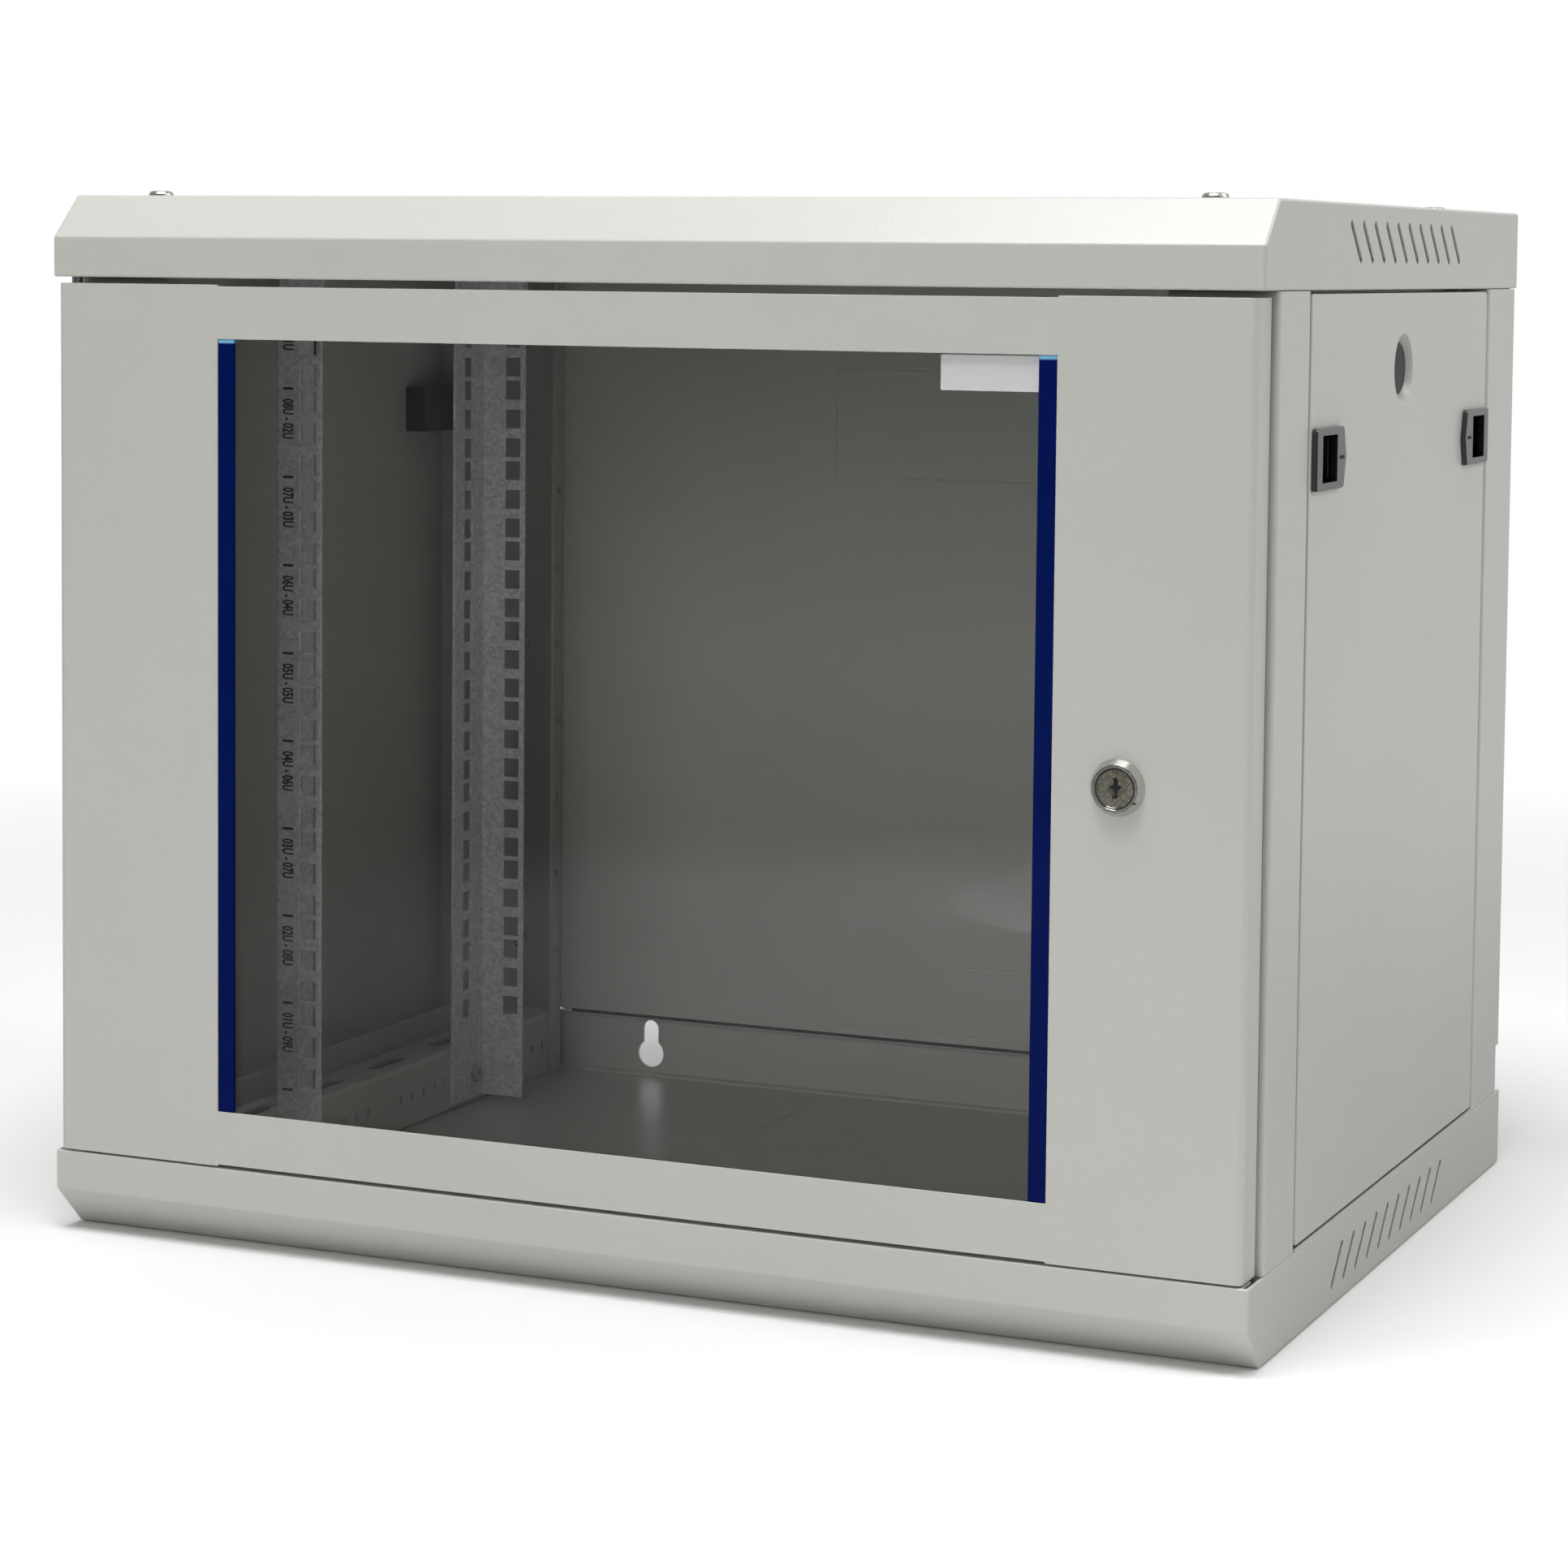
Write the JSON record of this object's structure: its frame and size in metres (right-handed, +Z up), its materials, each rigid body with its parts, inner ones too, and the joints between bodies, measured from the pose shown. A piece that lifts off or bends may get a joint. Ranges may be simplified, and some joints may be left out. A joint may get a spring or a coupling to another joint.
{
  "type": "wall mount network cabinet",
  "caption": "Light grey wall mount rack cabinet with a glazed swing door, lift-off side panels with slide latches, vented covers and square-hole rails.",
  "frame": {"origin": "middle of the footprint, on the underside of the bottom cover", "axes": "+X to the viewer's right facing the door, +Y from the door to the wall, +Z up"},
  "size_m": [0.6052, 0.454, 0.5025],
  "materials": {
    "cabinet_paint": "light grey powder coat, fine orange peel",
    "galvanised_steel": "galvanised sheet with spangle",
    "zinc_fastener": "bright zinc plate",
    "zinc_hardware": "zinc plated stampings",
    "spring_steel": "drawn wire",
    "window_glass": "clear toughened",
    "black_gasket": "matt foam rubber",
    "navy_trim": "glossy dark blue",
    "lock_chrome": "bright plated",
    "lock_brass": "turned nickel brass",
    "grey_plastic": "moulded charcoal",
    "black_plastic": "moulded black"
  },
  "bodies": {
    "frame": {"top_cover": "cabinet_paint", "bottom_cover": "cabinet_paint", "front_post_left": "cabinet_paint", "front_post_right": "cabinet_paint", "rear_post_left": "cabinet_paint", "rear_post_right": "cabinet_paint", "lower_side_sill_left": "cabinet_paint", "lower_side_sill_right": "cabinet_paint", "upper_side_sill_left": "cabinet_paint", "upper_side_sill_right": "cabinet_paint", "back_panel": "cabinet_paint", "lower_cross_member": "cabinet_paint", "upper_cross_member": "cabinet_paint", "lower_depth_bar_left": "cabinet_paint", "lower_depth_bar_right": "cabinet_paint", "upper_depth_bar_left": "cabinet_paint", "upper_depth_bar_right": "cabinet_paint", "front_rail_left": "galvanised_steel", "front_rail_right": "galvanised_steel", "rear_rail_left": "galvanised_steel", "rear_rail_right": "galvanised_steel", "cover_screws_top": "zinc_fastener", "cover_screws_bottom": "zinc_fastener", "back_panel_screws": "zinc_fastener", "rail_screws": "zinc_fastener", "hinge_bracket_lower": "zinc_hardware", "hinge_bracket_upper": "zinc_hardware", "hinge_washer": "zinc_fastener"},
    "door": {"door_frame": "cabinet_paint", "door_glass": "window_glass", "glass_gasket": "black_gasket", "glass_clips": "zinc_hardware", "clip_nuts": "zinc_fastener", "trim_strip_left": "navy_trim", "trim_strip_right": "navy_trim", "lock_housing": "lock_chrome", "lock_nut": "zinc_hardware", "pin_guide": "zinc_hardware", "bearing_plate": "zinc_hardware", "hinge_spring": "spring_steel"},
    "lock": {"lock_plug": "lock_brass", "lock_cam": "zinc_hardware", "cam_screw": "zinc_fastener"},
    "pin": {"hinge_pin": "zinc_hardware"},
    "side_panel_left": {"side_panel_left": "cabinet_paint", "panel_plug_left": "black_plastic", "latch_housing_front_left": "grey_plastic", "latch_housing_rear_left": "grey_plastic"},
    "latch_front_left": {"latch_slider_front_left": "black_plastic"},
    "latch_rear_left": {"latch_slider_rear_left": "black_plastic"},
    "side_panel_right": {"side_panel_right": "cabinet_paint", "panel_plug_right": "black_plastic", "latch_housing_front_right": "grey_plastic", "latch_housing_rear_right": "grey_plastic"},
    "latch_front_right": {"latch_slider_front_right": "black_plastic"},
    "latch_rear_right": {"latch_slider_rear_right": "black_plastic"}
  },
  "joints": [
    {"name": "door_hinge", "type": "hinge", "parent": "frame", "child": "door", "pos_m": [-0.29, -0.2195, 0.25], "axis": [0, 0, -1], "range_deg": [0, 180]},
    {"name": "lock_turn", "type": "hinge", "parent": "door", "child": "lock", "pos_m": [0.2384, -0.2, 0.249], "axis": [0, 1, 0], "range_deg": [0, 90]},
    {"name": "hinge_pin_slide", "type": "slide", "parent": "door", "child": "pin", "axis": [0, 0, -1], "range_m": [0, 0.006], "stiffness_N_per_m": 600, "springref_m": -0.006, "deforming": ["hinge_spring"]},
    {"name": "side_panel_left_pull", "type": "slide", "parent": "frame", "child": "side_panel_left", "axis": [-1, 0, 0], "range_m": [0, 0.12]},
    {"name": "latch_front_left_slide", "type": "slide", "parent": "side_panel_left", "child": "latch_front_left", "axis": [0, -1, 0], "range_m": [0, 0.006]},
    {"name": "latch_rear_left_slide", "type": "slide", "parent": "side_panel_left", "child": "latch_rear_left", "axis": [0, 1, 0], "range_m": [0, 0.006]},
    {"name": "side_panel_right_pull", "type": "slide", "parent": "frame", "child": "side_panel_right", "axis": [1, 0, 0], "range_m": [0, 0.12]},
    {"name": "latch_front_right_slide", "type": "slide", "parent": "side_panel_right", "child": "latch_front_right", "axis": [0, -1, 0], "range_m": [0, 0.006]},
    {"name": "latch_rear_right_slide", "type": "slide", "parent": "side_panel_right", "child": "latch_rear_right", "axis": [0, 1, 0], "range_m": [0, 0.006]}
  ]
}
